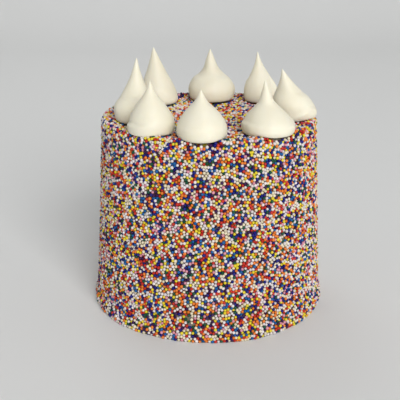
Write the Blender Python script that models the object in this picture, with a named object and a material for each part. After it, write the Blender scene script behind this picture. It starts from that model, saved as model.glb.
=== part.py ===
"""A tall round party cake, coated all over in tiny sugar beads, with a ring of piped cream dollops on its top.

The origin is the middle of the flat underside and +Z is up. The front of the cake faces -Y.
"""

import math
from collections import namedtuple

import bmesh
import bpy

# The cake, in metres.
HEIGHT = 0.1325  # crest of the rim above the flat underside
TOP_RADIUS = 0.0733  # where the side meets the rounded rim
SIDE_FOOT_RADIUS = 0.0797  # the side's widest, just above the foot
FOOT_RADIUS = 0.0813  # the low ledge of coating that gathers at the base
FOOT_HEIGHT = 0.0088  # where the foot blends into the side
FOOT_SPREAD = 0.0012  # how much further the foot reaches on the cake's left
FOOT_WAVE = 0.0004  # how far the hand-pressed foot wanders in and out
RIM_ROUND = 0.0040  # radius of the rounded top edge
DISH = 0.0015  # how far the top lies below the rim's crest
LIP_WIDTH = 0.0110  # from the rim's crest in to where the top is level
CAKE_SEGMENTS = 90
FOOT_STEPS = 5
SIDE_STEPS = 3
RIM_STEPS = 5
LIP_STEPS = 3

# The dollops, in metres.
SEAT_GAP = 0.0004  # free space under each dollop
DROOP_SHARE = 0.7  # how far out over the rounded rim a dollop follows it down
FADE_HEIGHT = 0.0120  # above this a dollop doesn't feel the shape of what it sits on
TIP_RADIUS = 0.0004
OVALNESS = 0.03
DOLLOP_SEGMENTS = 24
SEAT_STEPS = 5
SEAT_CROWDING = 0.7  # below 1 the seat's rings crowd towards its edge
BULGE_STEPS = 3
SPIRE_STEPS = 10

# angle: place round the ring in degrees, anticlockwise from +X. ring: distance of its middle from the cake's axis.
# radius: at its widest. seat: radius of its footprint as a share of the widest. widest, height: of the widest ring
# and the tip above the cake's top. low, mid, high: radius a quarter, half and three quarters of the way from the
# widest ring up to the tip, as shares of the widest. lean_x, lean_y: how far the tip leans.
Dollop = namedtuple("Dollop", "angle ring radius seat widest height low mid high lean_x lean_y")
DOLLOPS = (
    Dollop(-94.8, 0.0592, 0.0164, 0.90, 0.0041, 0.0290, 0.89, 0.61, 0.24, -0.0006, 0.0000),
    Dollop(-52.0, 0.0594, 0.0172, 0.92, 0.0044, 0.0325, 0.78, 0.33, 0.16, -0.0026, 0.0010),
    Dollop(-8.3, 0.0581, 0.0140, 0.90, 0.0045, 0.0326, 0.93, 0.59, 0.26, -0.0096, -0.0015),
    Dollop(50.5, 0.0605, 0.0129, 0.88, 0.0044, 0.0343, 0.83, 0.51, 0.20, -0.0031, 0.0010),
    Dollop(87.2, 0.0516, 0.0178, 0.84, 0.0061, 0.0360, 0.85, 0.41, 0.21, -0.0013, -0.0010),
    Dollop(131.2, 0.0539, 0.0137, 0.90, 0.0030, 0.0389, 0.85, 0.55, 0.29, -0.0037, 0.0000),
    Dollop(198.2, 0.0513, 0.0140, 0.86, 0.0088, 0.0406, 0.67, 0.40, 0.19, 0.0016, 0.0010),
    Dollop(231.3, 0.0588, 0.0151, 0.95, 0.0058, 0.0318, 0.84, 0.53, 0.21, -0.0001, 0.0005),
)


def clear_scene():
    for obj in list(bpy.data.objects):
        bpy.data.objects.remove(obj, do_unlink=True)


def make_material(name, colour, roughness):
    material = bpy.data.materials.new(name)
    material.use_nodes = True
    shader = material.node_tree.nodes["Principled BSDF"]
    shader.inputs["Base Color"].default_value = (*colour, 1.0)
    shader.inputs["Roughness"].default_value = roughness
    shader.inputs["Metallic"].default_value = 0.0
    return material


def turned(profile, segments):
    """A bmesh with the outline, (radius, height) points from the bottom middle to the top middle, spun round Z."""
    bm = bmesh.new()
    points = [bm.verts.new((radius, 0.0, height)) for radius, height in profile]
    edges = [bm.edges.new(pair) for pair in zip(points, points[1:])]
    bmesh.ops.spin(
        bm,
        geom=points + edges,
        cent=(0.0, 0.0, 0.0),
        axis=(0.0, 0.0, 1.0),
        angle=2 * math.pi,
        steps=segments,
        use_merge=True,
    )
    bmesh.ops.remove_doubles(bm, verts=bm.verts, dist=1e-6)
    bmesh.ops.recalc_face_normals(bm, faces=bm.faces)
    return bm


def add_object(name, bm, material, parent=None):
    mesh = bpy.data.meshes.new(name)
    bm.to_mesh(mesh)
    bm.free()
    mesh.shade_smooth()
    mesh.set_sharp_from_angle(angle=math.radians(50))
    mesh.materials.append(material)
    obj = bpy.data.objects.new(name, mesh)
    bpy.context.scene.collection.objects.link(obj)
    obj.parent = parent
    return obj


def smooth_step(share):
    share = min(1.0, max(0.0, share))
    return share * share * (3 - 2 * share)


def top_height(radius):
    """Height of the cake's top at a distance from its axis: dished inside its lip, rounded off outside it."""
    crest = TOP_RADIUS - RIM_ROUND
    if radius < crest:
        return HEIGHT - DISH * smooth_step((crest - radius) / LIP_WIDTH)
    out = min(radius - crest, RIM_ROUND)
    return HEIGHT - RIM_ROUND + math.sqrt(RIM_ROUND**2 - out**2)


def foot_profile():
    """The rounded ledge of the foot, from the underside up to where the side begins."""
    ledge = FOOT_RADIUS - SIDE_FOOT_RADIUS
    points = []
    for step in range(FOOT_STEPS):
        share = step / FOOT_STEPS
        swell = math.sin(math.pi * (0.2 + 0.8 * share)) ** 0.8
        points.append((SIDE_FOOT_RADIUS + ledge * swell, FOOT_HEIGHT * share))
    return points


def side_profile():
    shoulder = HEIGHT - RIM_ROUND
    points = []
    for step in range(SIDE_STEPS):
        share = step / SIDE_STEPS
        radius = SIDE_FOOT_RADIUS + (TOP_RADIUS - SIDE_FOOT_RADIUS) * share
        points.append((radius, FOOT_HEIGHT + (shoulder - FOOT_HEIGHT) * share))
    return points


def top_profile():
    """The rounded rim, its crest and the lip that falls to the level top."""
    crest = TOP_RADIUS - RIM_ROUND
    points = []
    for step in range(RIM_STEPS + 1):
        radius = crest + RIM_ROUND * math.cos(math.radians(90) * step / RIM_STEPS)
        points.append((radius, top_height(radius)))
    for step in range(1, LIP_STEPS + 1):
        radius = crest - LIP_WIDTH * step / LIP_STEPS
        points.append((radius, top_height(radius)))
    return points


def foot_reach(angle):
    """How far the foot stands out from round at a place round the cake, furthest on the left."""
    left = max(0.0, -math.cos(angle)) ** 4
    wave = 0.6 * math.sin(5 * angle + 1.0) + 0.4 * math.sin(11 * angle + 2.5)
    return FOOT_SPREAD * left + FOOT_WAVE * wave


def press_foot(bm):
    """Moves the foot in and out round the cake, fading out up the side."""
    for vert in bm.verts:
        radius = math.hypot(vert.co.x, vert.co.y)
        if radius < TOP_RADIUS:
            continue
        fade = 1 - smooth_step(vert.co.z / (3 * FOOT_HEIGHT))
        scale = 1 + foot_reach(math.atan2(vert.co.y, vert.co.x)) * fade / radius
        vert.co.x *= scale
        vert.co.y *= scale


def make_cake(material):
    profile = [(0.0, 0.0)] + foot_profile() + side_profile() + top_profile() + [(0.0, HEIGHT - DISH)]
    bm = turned(profile, CAKE_SEGMENTS)
    press_foot(bm)
    return add_object("cake", bm, material)


def curve_through(knots, place):
    """A smooth curve through evenly spaced knots, level at the first and straight into the last."""
    last = len(knots) - 1
    slopes = [0.0] + [(knots[i + 1] - knots[i - 1]) / 2 for i in range(1, last)] + [knots[last] - knots[last - 1]]
    index = min(int(place * last), last - 1)
    t = place * last - index
    start = knots[index] * (1 + 2 * t) * (1 - t) ** 2 + slopes[index] * t * (1 - t) ** 2
    return start + knots[index + 1] * t**2 * (3 - 2 * t) - slopes[index + 1] * t**2 * (1 - t)


def dollop_profile(shape):
    """The flat seat, the bulge up to the widest ring and the spire up to the tip."""
    seat = shape.radius * shape.seat
    points = [(seat * (step / SEAT_STEPS) ** SEAT_CROWDING, SEAT_GAP) for step in range(SEAT_STEPS + 1)]
    for step in range(1, BULGE_STEPS + 1):
        turn = math.radians(90) * step / BULGE_STEPS
        radius = seat + (shape.radius - seat) * math.sin(turn)
        points.append((radius, SEAT_GAP + (shape.widest - SEAT_GAP) * (1 - math.cos(turn))))
    knots = (1.0, shape.low, shape.mid, shape.high, TIP_RADIUS / shape.radius)
    for step in range(1, SPIRE_STEPS + 1):
        up = step / SPIRE_STEPS
        height = shape.widest + (shape.height - shape.widest) * up
        points.append((shape.radius * curve_through(knots, up), height))
    return points + [(0.0, shape.height + TIP_RADIUS)]


def lean(bm, shape):
    """Leans the dollop towards its tip and makes its round slightly oval."""
    facing = math.radians(shape.angle)
    for vert in bm.verts:
        up = max(0.0, (vert.co.z - shape.widest) / (shape.height - shape.widest))
        turn = math.atan2(vert.co.y, vert.co.x)
        oval = 1 + OVALNESS * math.cos(2 * (turn - facing))
        vert.co.x = vert.co.x * oval + shape.lean_x * up
        vert.co.y = vert.co.y * oval + shape.lean_y * up


def settle(bm, middle):
    """Shapes the dollop's lower part to the lip and rim that it was piped on to."""
    furthest = TOP_RADIUS - RIM_ROUND * (1 - DROOP_SHARE)
    for vert in bm.verts:
        radius = min(furthest, math.hypot(vert.co.x + middle[0], vert.co.y + middle[1]))
        rise = top_height(radius) - middle[2]
        vert.co.z += rise * (1 - smooth_step(vert.co.z / FADE_HEIGHT))


def make_dollop(number, shape, material, cake):
    facing = math.radians(shape.angle)
    middle = (shape.ring * math.cos(facing), shape.ring * math.sin(facing), HEIGHT - DISH)
    bm = turned(dollop_profile(shape), DOLLOP_SEGMENTS)
    lean(bm, shape)
    settle(bm, middle)
    dollop = add_object(f"dollop_{number}", bm, material, parent=cake)
    dollop.location = middle
    return dollop


def main():
    clear_scene()
    coating = make_material("bead_coating", (0.37, 0.26, 0.20), 0.45)
    cream = make_material("piped_cream", (0.87, 0.83, 0.69), 0.50)
    cake = make_cake(coating)
    for number, shape in enumerate(DOLLOPS, start=1):
        make_dollop(number, shape, cream, cake)


main()
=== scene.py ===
"""The looks of a tall party cake: its bead coating, the frosting that holds the beads and the piped dollops.

Metres throughout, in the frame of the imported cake: the middle of its underside is the origin and its front
faces -Y.
"""

import math
from collections import namedtuple

import bmesh
import bpy
import numpy as np
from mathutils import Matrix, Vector, noise
from mathutils.bvhtree import BVHTree


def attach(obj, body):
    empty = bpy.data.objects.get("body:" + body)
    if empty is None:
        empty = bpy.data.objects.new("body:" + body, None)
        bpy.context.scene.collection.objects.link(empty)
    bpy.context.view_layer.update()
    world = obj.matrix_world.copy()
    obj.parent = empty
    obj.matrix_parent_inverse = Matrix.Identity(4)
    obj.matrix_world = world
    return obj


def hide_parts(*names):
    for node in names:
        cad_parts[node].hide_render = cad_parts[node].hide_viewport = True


SEED = 20
FACING_DOWN = -0.9  # a face whose normal points further down than this belongs to the underside

# The bead coating.
BEAD_DIAMETER = 0.00212
BEAD_SPREAD = 0.16  # most that a bead's size differs from the usual, as a share
BEAD_PITCH = 0.00206  # how far apart the beads settle
BEADS_PER_SQUARE_METRE = 264000
SETTLE_ROUNDS = 21
SPREAD_ROUNDS = 16  # the rounds in which beads also spread from crowded places to bald ones
SPREAD_REACH = 1.15  # by pushing each other from this many pitches away
SETTLE_PUSH = 0.48
LONGEST_MOVE = 0.3  # furthest that a bead moves in one round, as a share of the reach
SUNK = 0.0012  # most that a bead is pushed deeper than its neighbours
BEAD_SEGMENTS = 8
BEAD_RINGS = (0.57, -0.12)  # heights of a bead's two rings, as shares of its radius
BEAD_TILT = 0.5  # radians, about the most that a bead leans
FACING_UP = 0.3  # a bead whose normal points further up than this may lie under a dollop
COVERED_WITHIN = 0.0014  # a bead is left out where cream lies no higher than this above it
NEIGHBOUR = 0.0014  # and above the places this far from it on all four sides
COVER_SEARCH = 0.0030  # the search for cream starts this far below a bead

# The frosting under the beads and the cream dollops.
FROSTING_DEPTH = 0.0024  # frosting's surface below the beads' outsides
FROSTING_UNEVEN = 0.00012
FROSTING_LUMPS = 90.0  # in each metre
BURIED_PAINTED_SHADE = 0.22  # painted shade: the share of their colour that the deeper beads keep, darkened as if shadowed by the beads on top
RIM_FOLLOWED = 0.0721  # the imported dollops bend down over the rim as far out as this
BEND_FADE = 0.0120  # and feel the bend no higher than this above the cake's top
BEND_KEPT = 0.55  # share of the bend that the soft cream keeps
EASE_ROUNDS = 8
DOLLOP_SINK = 0.0008  # how far the cream squeezes down among the beads
SINK_FADE = 0.0040
AXIS_UP = 0.0045  # a dollop's axis is upright below this and leans to the tip above it
CREAM_UNEVEN = 0.00032
CREAM_LUMPS = 130.0  # in each metre
AXIS_FADE = 0.0040  # folds and lumps fade out this close to a dollop's axis
FOOT_FADE = 0.0025  # and this close to the cake's top
TUCK = 0.0007  # how far the cream's lower edge rounds under
TUCK_HEIGHT = 0.0030
FOLD_EDGE = 0.0014  # half the width of a fold's steep side
FOLD_WANDER = 0.0005  # how far a fold strays from its line
FOLD_END = 0.4  # share of a fold's length over which it fades at each end
FOLD_GIRTH = 0.8  # a fold's length is worked out on this share of the dollop's widest radius
LONG_SWEEP = 0.6 * math.pi  # a fold that goes further round than this is placed by its middle

# Folds that piping leaves in a dollop. Each runs from turn and height to far_turn and far_height: degrees
# anticlockwise from +X round the dollop's axis, and metres above the cake's top. On the left of that way, seen
# from outside, the cream stands out by ridge, and on its right it is pressed in by groove. Each fades over its
# reach.
Fold = namedtuple("Fold", "dollop turn height far_turn far_height ridge ridge_reach groove groove_reach")
FOLDS = (
    Fold(8, 290, 0.0080, 110, 0.0046, 0.0002, 0.0025, 0.0017, 0.0052),
    Fold(8, 310, 0.0110, 215, 0.0088, 0.0002, 0.0020, 0.0002, 0.0020),
    Fold(1, 330, 0.0072, 190, 0.0082, 0.0002, 0.0030, 0.0002, 0.0030),
    Fold(1, 150, 0.0100, 20, 0.0070, 0.0003, 0.0030, 0.0004, 0.0030),
    Fold(1, 380, 0.0175, 300, 0.0150, 0.0002, 0.0030, 0.0004, 0.0040),
    Fold(2, 265, 0.0080, 110, 0.0060, 0.0002, 0.0020, 0.0009, 0.0070),
    Fold(2, 400, 0.0085, 300, 0.0065, 0.0001, 0.0030, 0.0007, 0.0060),
    Fold(2, 330, 0.0035, 220, 0.0040, 0.0002, 0.0020, 0.0003, 0.0015),
    Fold(3, 325, 0.0092, 262, 0.0026, 0.0013, 0.0026, 0.0010, 0.0020),
    Fold(3, 365, 0.0060, 300, 0.0100, 0.0007, 0.0020, 0.0008, 0.0020),
    Fold(3, 400, 0.0150, 270, 0.0185, 0.0006, 0.0040, 0.0005, 0.0040),
    Fold(4, 345, 0.0190, 305, 0.0030, 0.0020, 0.0040, 0.0013, 0.0025),
    Fold(4, 295, 0.0042, 385, 0.0055, 0.0010, 0.0035, 0.0006, 0.0025),
    Fold(4, 220, 0.0180, 130, 0.0120, 0.0004, 0.0040, 0.0004, 0.0040),
    Fold(5, 400, 0.0160, 270, 0.0185, 0.0004, 0.0050, 0.0012, 0.0080),
    Fold(5, 260, 0.0180, 130, 0.0160, 0.0004, 0.0050, 0.0012, 0.0080),
    Fold(6, 350, 0.0060, 250, 0.0125, 0.0002, 0.0030, 0.0003, 0.0040),
    Fold(6, 200, 0.0090, 60, 0.0130, 0.0004, 0.0040, 0.0004, 0.0040),
    Fold(7, 320, 0.0190, 165, 0.0130, 0.0004, 0.0035, 0.0005, 0.0045),
    Fold(7, 160, 0.0120, 20, 0.0160, 0.0004, 0.0040, 0.0004, 0.0040),
)

# The studio round the cake.
STUDIO_SIZE = (6.4, 6.4, 2.8)
STUDIO_BACK = 1.7
STUDIO_BEND = 0.6
STUDIO_BEND_STEPS = 12
STUDIO_PAINT = (0.75, 0.755, 0.75)
AIMED_AT = (0.0, 0.0, 0.07)  # the point that the lamps face
WORLD_LIGHT = 0.25
Lamp = namedtuple("Lamp", "name place size power")
LAMPS = (
    Lamp("key", (1.0, -2.95, 1.85), 1.8, 104.0),
    Lamp("back", (-0.4, 1.0, 1.3), 0.8, 3.0),
)

# The camera.
CAMERA_PLACE = (-0.0061, -0.5498, 0.2633)
CAMERA_DIP = 19.43  # degrees below level
CAMERA_LENS = 74.5
CAMERA_SENSOR = 36.0

# The beads' colours: each one's share of the beads and its colour as linear light.
Shade = namedtuple("Shade", "name share colour")
SHADES = (
    Shade("white", 0.24, (0.79, 0.73, 0.73)),
    Shade("ivory", 0.16, (0.81, 0.72, 0.52)),
    Shade("yellow", 0.11, (0.81, 0.655, 0.03)),
    Shade("orange", 0.12, (0.82, 0.21, 0.025)),
    Shade("red", 0.10, (0.55, 0.025, 0.013)),
    Shade("pink", 0.06, (0.72, 0.30, 0.38)),
    Shade("deep_blue", 0.10, (0.007, 0.009, 0.20)),
    Shade("sky_blue", 0.06, (0.005, 0.11, 0.35)),
    Shade("green", 0.05, (0.005, 0.080, 0.042)),
    Shade("purple", 0.06, (0.040, 0.005, 0.070)),
)


# Shader building.


class Value:
    """Wraps a socket so that shader maths can be written as Python expressions."""

    def __init__(self, shader, socket):
        self.shader = shader
        self.socket = socket

    def _math(self, operation, first, second):
        node = self.shader.node("ShaderNodeMath", {"operation": operation}, {0: first, 1: second})
        return Value(self.shader, node.outputs[0])

    def __add__(self, other):
        return self._math("ADD", self, other)

    def __radd__(self, other):
        return self._math("ADD", other, self)

    def __mul__(self, other):
        return self._math("MULTIPLY", self, other)

    def __rmul__(self, other):
        return self._math("MULTIPLY", other, self)


class Shader:
    """One material's nodes: every node comes from node(), and numbers and links go on its sockets alike."""

    def __init__(self, name, roughness, **constants):
        self.material = bpy.data.materials.new(name)
        self.material.use_nodes = True
        self.tree = self.material.node_tree
        self.surface = self.tree.nodes["Principled BSDF"]
        self.feed(self.surface, {"Roughness": roughness, **constants})

    def feed(self, node, inputs):
        for key, value in inputs.items():
            if isinstance(value, Value):
                self.tree.links.new(value.socket, node.inputs[key])
            else:
                node.inputs[key].default_value = value

    def node(self, kind, settings, inputs):
        node = self.tree.nodes.new(kind)
        for key, value in settings.items():
            setattr(node, key, value)
        self.feed(node, inputs)
        return node

    def place(self):
        return Value(self, self.node("ShaderNodeTexCoord", {}, {}).outputs["Object"])

    def attribute(self, name):
        node = self.node("ShaderNodeAttribute", {"attribute_name": name}, {})
        return Value(self, node.outputs["Fac"])

    def noise(self, scale, detail=2.0):
        inputs = {"Vector": self.place(), "Scale": scale, "Detail": detail}
        return Value(self, self.node("ShaderNodeTexNoise", {}, inputs).outputs["Fac"])

    def spread(self, value, low, high):
        """The value stretched so that low to high becomes 0 to 1."""
        inputs = {"Value": value, "From Min": low, "From Max": high}
        return Value(self, self.node("ShaderNodeMapRange", {}, inputs).outputs["Result"])

    def mix(self, share, first, second):
        """A colour that goes from first to second."""
        inputs = {0: share, 6: (*first, 1.0), 7: (*second, 1.0)}
        node = self.node("ShaderNodeMix", {"data_type": "RGBA"}, inputs)
        return Value(self, node.outputs[2])

    def bump(self, height, strength, distance):
        inputs = {"Height": height, "Strength": strength, "Distance": distance}
        node = self.node("ShaderNodeBump", {}, inputs)
        self.feed(self.surface, {"Normal": Value(self, node.outputs["Normal"])})


def bead_material(shade):
    """A hard sugar shell, each bead a little lighter or paler than the next."""
    shader = Shader(f"sugar_{shade.name}", 0.38, **{"Specular IOR Level": 0.14})
    tone = shader.attribute("tone")
    deep = tuple(channel * 0.80 for channel in shade.colour)
    pale = tuple(channel + (0.9 - channel) * 0.02 for channel in shade.colour)
    shader.feed(shader.surface, {"Base Color": shader.mix(tone, deep, pale)})
    shader.feed(shader.surface, {"Roughness": 0.32 + 0.16 * tone})
    return shader.material


def buried_painted_shade_material():
    """The frosting between the beads, crowded by the beads buried deeper in it: cells in the beads' colours,
    darkened as painted shade for the shadow in the gaps under the beads on top.
    """
    shader = Shader("buried_beads_painted_shade", 0.6, **{"Specular IOR Level": 0.2})
    cells = shader.node("ShaderNodeTexVoronoi", {}, {"Vector": shader.place(), "Scale": 1 / BEAD_PITCH})
    chance = Value(shader, cells.outputs["Color"])
    stops = shader.node("ShaderNodeValToRGB", {}, {0: chance})
    ramp = stops.color_ramp
    ramp.interpolation = "CONSTANT"
    total = sum(shade.share for shade in SHADES)
    reached = 0.0
    for number, shade in enumerate(SHADES):
        stop = ramp.elements[0] if number == 0 else ramp.elements.new(reached)
        stop.position = reached
        # painted shade: each buried bead's colour is darkened as if in the shadow of the beads on top
        stop.color = (*(channel * BURIED_PAINTED_SHADE for channel in shade.colour), 1.0)
        reached += shade.share / total
    shader.feed(shader.surface, {"Base Color": Value(shader, stops.outputs[0])})
    return shader.material


def cream_material(name, light, warm):
    """Smooth buttercream: soft uneven sheen, slightly warmer in patches, with a faint unevenness."""
    shader = Shader(name, 0.45)
    shader.feed(
        shader.surface,
        {
            "Subsurface Weight": 0.18,
            "Subsurface Radius": (1.0, 0.8, 0.5),
            "Subsurface Scale": 0.002,
        },
    )
    patches = shader.spread(shader.noise(70.0, 3.0), 0.35, 0.65)
    shader.feed(shader.surface, {"Base Color": shader.mix(patches, light, warm)})
    shader.feed(shader.surface, {"Roughness": 0.42 + 0.30 * shader.noise(160.0)})
    shader.bump(shader.noise(420.0, 3.0) + 0.6 * shader.noise(170.0), 0.10, 0.0006)
    return shader.material


def plain_material(name, colour, roughness):
    shader = Shader(name, roughness)
    shader.feed(shader.surface, {"Base Color": (*colour, 1.0)})
    return shader.material


# Meshes.


def add_piece(name, mesh, material, nodes=()):
    mesh.materials.append(material)
    piece = bpy.data.objects.new(name, mesh)
    bpy.context.scene.collection.objects.link(piece)
    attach(piece, "root")
    if nodes:
        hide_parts(*nodes)
    return piece


def merged_copy(node):
    """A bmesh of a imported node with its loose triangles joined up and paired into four-sided faces."""
    bm = bmesh.new()
    bm.from_mesh(node.data)
    bmesh.ops.remove_doubles(bm, verts=bm.verts, dist=1e-6)
    bmesh.ops.join_triangles(
        bm, faces=bm.faces, angle_face_threshold=math.radians(60), angle_shape_threshold=math.radians(60)
    )
    bm.normal_update()
    return bm


def smoothed(bm, name, levels):
    """The bmesh as a mesh after subdivision."""
    mesh = bpy.data.meshes.new(name)
    bm.to_mesh(mesh)
    bm.free()
    carrier = bpy.data.objects.new(name, mesh)
    bpy.context.scene.collection.objects.link(carrier)
    subdivide = carrier.modifiers.new("smooth", "SUBSURF")
    subdivide.levels = levels
    subdivide.render_levels = levels
    depsgraph = bpy.context.evaluated_depsgraph_get()
    fine = bpy.data.meshes.new_from_object(carrier.evaluated_get(depsgraph))
    bpy.data.objects.remove(carrier, do_unlink=True)
    bpy.data.meshes.remove(mesh)
    fine.name = name
    fine.materials.clear()
    fine.shade_smooth()
    return fine


def surface_tree(obj):
    """A search tree of an object's faces."""
    bm = merged_copy(obj)
    tree = BVHTree.FromBMesh(bm)
    bm.free()
    return tree


# The frosting.


def make_frosting(node):
    """The cream coat that shows between the beads, with a flat underside."""
    bm = merged_copy(node)
    for vert in bm.verts:
        height = vert.co.z
        uneven = FROSTING_UNEVEN * noise.noise(vert.co * FROSTING_LUMPS)
        vert.co -= vert.normal * (FROSTING_DEPTH + uneven)
        vert.co.z = max(vert.co.z, 0.0) if height > 1e-5 else 0.0
    mesh = bpy.data.meshes.new("frosting")
    bm.to_mesh(mesh)
    bm.free()
    mesh.materials.clear()
    mesh.shade_smooth()
    mesh.set_sharp_from_angle(angle=math.radians(60))
    # the frosting's colour is the buried beads' colours, darkened by painted shade
    add_piece("frosting", mesh, buried_painted_shade_material(), ["cake"])
    mesh.materials.append(cream_material("underside_cream", (0.84, 0.79, 0.66), (0.80, 0.73, 0.58)))
    for face in mesh.polygons:
        face.material_index = 1 if face.normal.z < FACING_DOWN else 0


# The beads.


def triangles_of(node):
    """Corner positions, unit normals and areas of a node's triangles."""
    mesh = node.data
    places = np.empty(len(mesh.vertices) * 3, np.float32)
    mesh.vertices.foreach_get("co", places)
    mesh.calc_loop_triangles()
    corners = np.empty(len(mesh.loop_triangles) * 3, np.int32)
    mesh.loop_triangles.foreach_get("vertices", corners)
    corners = places.reshape(-1, 3)[corners.reshape(-1, 3)].astype(float)
    normals = np.cross(corners[:, 1] - corners[:, 0], corners[:, 2] - corners[:, 0])
    lengths = np.linalg.norm(normals, axis=1)
    return corners, normals / lengths[:, None], lengths / 2


def scatter(node, rng):
    """Random places all over a node except its underside."""
    corners, normals, areas = triangles_of(node)
    shown = normals[:, 2] > FACING_DOWN
    corners = corners[shown]
    areas = areas[shown]
    count = int(areas.sum() * BEADS_PER_SQUARE_METRE)
    chosen = rng.choice(len(areas), size=count, p=areas / areas.sum())
    first = np.sqrt(rng.random(count))[:, None]
    second = rng.random(count)[:, None]
    a, b, c = corners[chosen, 0], corners[chosen, 1], corners[chosen, 2]
    return a * (1 - first) + b * first * (1 - second) + c * first * second


def close_pairs(places, reach):
    """Index pairs of places that may lie within reach of each other."""
    cells = np.floor(places / reach).astype(np.int64)
    cells -= cells.min(axis=0) - 1
    span = cells.max(axis=0) + 3
    keys = (cells[:, 0] * span[1] + cells[:, 1]) * span[2] + cells[:, 2]
    order = np.argsort(keys, kind="stable")
    keys = keys[order]
    numbers = np.arange(len(keys))
    firsts = []
    seconds = []
    for across in (-1, 0, 1):
        for along in (-1, 0, 1):
            step = (across * span[1] + along) * span[2]
            starts = np.searchsorted(keys, keys + step - 1, side="left")
            ends = np.searchsorted(keys, keys + step + 1, side="right")
            counts = ends - starts
            first = np.repeat(numbers, counts)
            offset = np.arange(counts.sum()) - np.repeat(np.cumsum(counts) - counts, counts)
            second = np.repeat(starts, counts) + offset
            once = first < second
            firsts.append(order[first[once]])
            seconds.append(order[second[once]])
    return np.concatenate(firsts), np.concatenate(seconds)


def push_apart(places, reach):
    """Moves places that are closer than reach away from each other."""
    first, second = close_pairs(places, reach)
    apart = places[first] - places[second]
    distance = np.linalg.norm(apart, axis=1)
    near = (distance < reach) & (distance > 1e-9)
    first, second, apart, distance = first[near], second[near], apart[near], distance[near]
    push = apart * (SETTLE_PUSH * (reach - distance) / distance)[:, None]
    moves = np.zeros_like(places)
    for axis in range(3):
        moves[:, axis] += np.bincount(first, push[:, axis], len(places))
        moves[:, axis] -= np.bincount(second, push[:, axis], len(places))
    longest = reach * LONGEST_MOVE
    lengths = np.linalg.norm(moves, axis=1)
    moves *= np.minimum(1.0, longest / np.maximum(lengths, 1e-9))[:, None]
    return places + moves


def on_surface(places, tree, lowest):
    """The nearest points of the surface to the places, kept above its bottom edge, and their normals."""
    points = np.empty_like(places)
    normals = np.empty_like(places)
    for number, place in enumerate(places):
        point, normal, _, _ = tree.find_nearest(place)
        points[number] = point
        normals[number] = normal
    points[:, 2] = np.maximum(points[:, 2], lowest)
    return points, normals


def smooth_normals(points, normals, reach):
    """Normals averaged with their neighbours', so that beads sit square to the rounded surface."""
    first, second = close_pairs(points, reach)
    total = normals.copy()
    for axis in range(3):
        total[:, axis] += np.bincount(first, normals[second, axis], len(points))
        total[:, axis] += np.bincount(second, normals[first, axis], len(points))
    return total / np.linalg.norm(total, axis=1)[:, None]


def settled_places(node, rng):
    """Closely packed bead places over the cake, the outward direction at each and each bead's depth."""
    tree = surface_tree(node)
    lowest = BEAD_DIAMETER / 2
    places, normals = on_surface(scatter(node, rng), tree, lowest)
    depths = SUNK * rng.random(len(places))
    for number in range(SETTLE_ROUNDS):
        reach = BEAD_PITCH * (SPREAD_REACH if number < SPREAD_ROUNDS else 1.0)
        centres = push_apart(places - normals * depths[:, None], reach)
        places, normals = on_surface(centres, tree, lowest)
    return places, smooth_normals(places, normals, BEAD_PITCH * 2), depths


def under_cream(place, covers):
    """True where cream lies close above a place."""
    start = Vector(place) - Vector((0.0, 0.0, COVER_SEARCH))
    up = Vector((0.0, 0.0, 1.0))
    return any(cover.ray_cast(start, up, COVER_SEARCH + COVERED_WITHIN)[0] is not None for cover in covers)


def uncovered(places, normals, covers):
    """True for the places that show: those under a dollop's edge do, those further in don't."""
    free = np.ones(len(places), bool)
    steps = ((0.0, 0.0), (NEIGHBOUR, 0.0), (-NEIGHBOUR, 0.0), (0.0, NEIGHBOUR), (0.0, -NEIGHBOUR))
    for number in np.nonzero(normals[:, 2] > FACING_UP)[0]:
        x, y, z = places[number]
        free[number] = not all(under_cream((x + across, y + along, z), covers) for across, along in steps)
    return free


def bead_shape():
    """One bead: a ball whose widest ring is low, as only its outer half shows."""
    bm = bmesh.new()
    bmesh.ops.create_uvsphere(bm, u_segments=BEAD_SEGMENTS, v_segments=3, radius=1.0)
    for vert in bm.verts:
        is_pole = abs(vert.co.z) > 0.9
        if is_pole:
            continue
        height = BEAD_RINGS[0] if vert.co.z > 0 else BEAD_RINGS[1]
        flat = math.hypot(vert.co.x, vert.co.y)
        width = math.sqrt(1 - height**2)
        vert.co = Vector((vert.co.x * width / flat, vert.co.y * width / flat, height))
    bmesh.ops.triangulate(bm, faces=bm.faces)
    bm.verts.index_update()
    points = np.array([vert.co for vert in bm.verts])
    faces = np.array([[vert.index for vert in face.verts] for face in bm.faces])
    bm.free()
    return points, faces


def turns_to(normals, rng):
    """Rotation matrices that stand a bead up along each normal, tilted and spun at random."""
    count = len(normals)
    up = normals + rng.normal(0.0, BEAD_TILT / 3, (count, 3))
    up /= np.linalg.norm(up, axis=1)[:, None]
    side = np.cross(up, rng.normal(size=(count, 3)))
    side /= np.linalg.norm(side, axis=1)[:, None]
    return np.stack([side, np.cross(up, side), up], axis=2)


def bead_mesh(name, centres, turns, radii, tones):
    """Copies of the bead at each centre, as one mesh."""
    points, faces = bead_shape()
    places = np.einsum("nij,vj->nvi", turns, points) * radii[:, None, None] + centres[:, None, :]
    corners = faces[None, :, :] + (np.arange(len(centres)) * len(points))[:, None, None]
    mesh = bpy.data.meshes.new(name)
    mesh.vertices.add(len(centres) * len(points))
    mesh.vertices.foreach_set("co", places.astype(np.float32).ravel())
    mesh.loops.add(corners.size)
    mesh.loops.foreach_set("vertex_index", corners.astype(np.int32).ravel())
    mesh.polygons.add(corners.size // 3)
    mesh.polygons.foreach_set("loop_start", np.arange(0, corners.size, 3, dtype=np.int32))
    mesh.update(calc_edges=True)
    tone = mesh.attributes.new("tone", "FLOAT", "POINT")
    tone.data.foreach_set("value", np.repeat(tones, len(points)).astype(np.float32))
    mesh.shade_smooth()
    return mesh


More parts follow.
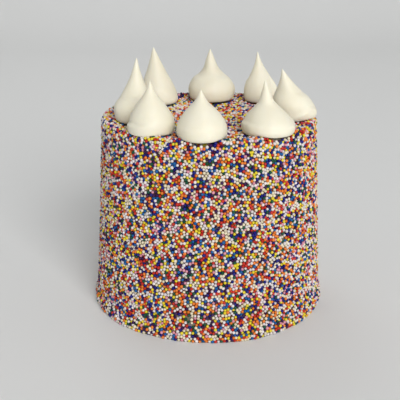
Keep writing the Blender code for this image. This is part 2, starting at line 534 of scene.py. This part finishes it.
def make_beads(node, covers):
    rng = np.random.default_rng(SEED)
    places, normals, depths = settled_places(node, rng)
    free = uncovered(places, normals, covers)
    places, normals, depths = places[free], normals[free], depths[free]
    count = len(places)
    radii = BEAD_DIAMETER / 2 * (1 + BEAD_SPREAD * np.clip(rng.normal(size=count), -2, 2) / 2)
    centres = places - normals * (radii + depths)[:, None]
    centres[:, 2] = np.maximum(centres[:, 2], radii)
    turns = turns_to(normals, rng)
    tones = rng.random(count)
    shares = np.array([shade.share for shade in SHADES])
    kinds = rng.choice(len(SHADES), size=count, p=shares / shares.sum())
    for number, shade in enumerate(SHADES):
        of_kind = kinds == number
        name = f"beads_{shade.name}"
        mesh = bead_mesh(name, centres[of_kind], turns[of_kind], radii[of_kind], tones[of_kind])
        add_piece(name, mesh, bead_material(shade))


# The dollops.


def smooth_step(share):
    share = np.clip(share, 0.0, 1.0)
    return share * share * (3 - 2 * share)


def ease(bm, cake, top):
    """Eases the bend that the cake's lip and rim give a dollop, so that its lower edge is a smooth oval."""
    down = Vector((0.0, 0.0, -1.0))
    for vert in bm.verts:
        inward = min(1.0, RIM_FOLLOWED / math.hypot(vert.co.x, vert.co.y))
        seat, _, _, _ = cake.ray_cast(Vector((vert.co.x * inward, vert.co.y * inward, 1.0)), down)
        height = bent = vert.co.z - top
        for _ in range(EASE_ROUNDS):
            fade = 1 - smooth_step(height / BEND_FADE)
            height = bent - (seat.z - top) * fade
        vert.co.z = top + height + (seat.z - top) * fade * BEND_KEPT


def turned_from(turns, start):
    """How far each turn lies from the start, going the shorter way round."""
    return (turns - start + math.pi * 3) % (2 * math.pi) - math.pi


def fold_shift(fold, turns, heights, girth):
    """How far out a fold moves the surface at each place of a dollop."""
    around = turned_from(turns, math.radians(fold.turn))
    sweep = math.radians(fold.far_turn - fold.turn)
    if abs(sweep) > LONG_SWEEP:
        around = turned_from(turns, math.radians(fold.turn) + sweep / 2) + sweep / 2
    run = np.array([sweep * girth, fold.far_height - fold.height])
    length = np.linalg.norm(run)
    along = (around * girth * run[0] + (heights - fold.height) * run[1]) / length**2
    side = ((heights - fold.height) * run[0] - around * girth * run[1]) / length
    side = side + FOLD_WANDER * np.sin(turns * 3 + fold.turn) * np.sin(turns * 2 + fold.far_turn)
    fade = smooth_step(along / FOLD_END) * smooth_step((1 - along) / FOLD_END)
    ridge = fold.ridge * np.exp(-np.maximum(side, 0.0) / fold.ridge_reach)
    groove = fold.groove * np.exp(np.minimum(side, 0.0) / fold.groove_reach)
    on_ridge = smooth_step(side / (2 * FOLD_EDGE) + 0.5)
    return fade * (ridge * on_ridge - groove * (1 - on_ridge))


def work_cream(mesh, number, top):
    """Gives a dollop its folds, its slight unevenness and its squeezed lower edge."""
    places = np.empty(len(mesh.vertices) * 3, np.float32)
    mesh.vertices.foreach_get("co", places)
    places = places.reshape(-1, 3).astype(float)
    heights = places[:, 2] - top
    tip = places[heights.argmax()]
    foot = places[heights < AXIS_UP]
    foot = (foot.min(axis=0) + foot.max(axis=0)) / 2
    up = np.clip((heights - AXIS_UP) / (heights.max() - AXIS_UP), 0.0, 1.0)[:, None]
    outward = places[:, :2] - (foot[:2] * (1 - up) + tip[:2] * up)
    reach = np.linalg.norm(outward, axis=1)
    outward /= np.maximum(reach, 1e-6)[:, None]
    turns = np.arctan2(outward[:, 1], outward[:, 0])
    girth = reach.max() * FOLD_GIRTH
    shift = sum(fold_shift(fold, turns, heights, girth) for fold in FOLDS if fold.dollop == number)
    shift += [CREAM_UNEVEN * noise.noise(Vector(place) * CREAM_LUMPS) for place in places]
    shift *= smooth_step(reach / AXIS_FADE) * smooth_step(heights / FOOT_FADE)
    shift -= TUCK * np.clip(1 - heights / TUCK_HEIGHT, 0.0, 1.0) ** 2
    places[:, :2] += outward * shift[:, None]
    places[:, 2] -= DOLLOP_SINK * (1 - smooth_step(heights / SINK_FADE))
    mesh.vertices.foreach_set("co", places.astype(np.float32).ravel())
    mesh.update()


def make_dollop(name, node, material, cake):
    """A piped dollop: folded cream, squeezed down a little among the beads under it."""
    top = cake.ray_cast(Vector((0.0, 0.0, 1.0)), Vector((0.0, 0.0, -1.0)))[0].z
    bm = merged_copy(node)
    ease(bm, cake, top)
    mesh = smoothed(bm, name, 3)
    work_cream(mesh, int(name.split("_")[1]), top)
    return add_piece(name + "_cream", mesh, material, [name])


def make_dollops(nodes):
    cream = cream_material("buttercream", (0.84, 0.80, 0.655), (0.82, 0.77, 0.61))
    cake = surface_tree(nodes["cake"])
    names = sorted(name for name in nodes if name.startswith("dollop"))
    return [make_dollop(name, nodes[name], cream, cake) for name in names]


# The stage.


def make_floor():
    """A pale studio tub: a floor that curves up into plain walls on every side."""
    bm = bmesh.new()
    bmesh.ops.create_cube(bm, size=1.0)
    bmesh.ops.scale(bm, vec=STUDIO_SIZE, verts=bm.verts)
    bmesh.ops.translate(bm, vec=(0.0, STUDIO_BACK - STUDIO_SIZE[1] / 2, STUDIO_SIZE[2] / 2), verts=bm.verts)
    lid = [face for face in bm.faces if face.normal.z > 0.5]
    bmesh.ops.delete(bm, geom=lid, context="FACES_ONLY")
    bends = [edge for edge in bm.edges if len(edge.link_faces) == 2]
    bmesh.ops.bevel(
        bm,
        geom=bends,
        offset=STUDIO_BEND,
        affect="EDGES",
        segments=STUDIO_BEND_STEPS,
        profile=0.5,
        material=-1,
    )
    bmesh.ops.reverse_faces(bm, faces=bm.faces)
    mesh = bpy.data.meshes.new("floor")
    bm.to_mesh(mesh)
    bm.free()
    mesh.shade_smooth()
    mesh.materials.append(plain_material("studio_paint", STUDIO_PAINT, 0.8))
    floor = bpy.data.objects.new("floor", mesh)
    bpy.context.scene.collection.objects.link(floor)


def make_lamp(name, place, size, power):
    lamp = bpy.data.lights.new(name, "AREA")
    lamp.shape = "SQUARE"
    lamp.size = size
    lamp.energy = power
    obj = bpy.data.objects.new(name, lamp)
    obj.location = place
    aim = Vector(AIMED_AT) - obj.location
    obj.rotation_euler = aim.to_track_quat("-Z", "Y").to_euler()
    bpy.context.scene.collection.objects.link(obj)


def make_lights():
    for lamp in LAMPS:
        make_lamp(*lamp)
    world = bpy.data.worlds.new("studio")
    world.use_nodes = True
    background = world.node_tree.nodes["Background"]
    background.inputs["Color"].default_value = (1.0, 1.0, 1.0, 1.0)
    background.inputs["Strength"].default_value = WORLD_LIGHT
    bpy.context.scene.world = world
    bpy.context.scene.view_settings.view_transform = "Standard"


def make_camera():
    camera = bpy.data.cameras.new("camera")
    camera.sensor_width = CAMERA_SENSOR
    camera.lens = CAMERA_LENS
    camera.clip_start = 0.01
    obj = bpy.data.objects.new("camera", camera)
    obj.location = CAMERA_PLACE
    obj.rotation_euler = (math.radians(90 - CAMERA_DIP), 0.0, 0.0)
    bpy.context.scene.collection.objects.link(obj)
    bpy.context.scene.camera = obj


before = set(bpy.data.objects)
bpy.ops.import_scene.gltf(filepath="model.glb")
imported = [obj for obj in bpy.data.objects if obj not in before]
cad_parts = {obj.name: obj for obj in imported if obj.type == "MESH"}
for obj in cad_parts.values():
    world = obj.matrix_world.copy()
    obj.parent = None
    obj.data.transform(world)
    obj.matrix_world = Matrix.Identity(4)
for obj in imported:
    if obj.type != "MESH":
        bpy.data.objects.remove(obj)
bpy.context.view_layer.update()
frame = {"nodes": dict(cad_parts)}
nodes = frame["nodes"]
make_camera()
make_lights()
make_floor()
dollops = make_dollops(nodes)
make_frosting(nodes["cake"])
make_beads(nodes["cake"], [surface_tree(dollop) for dollop in dollops])
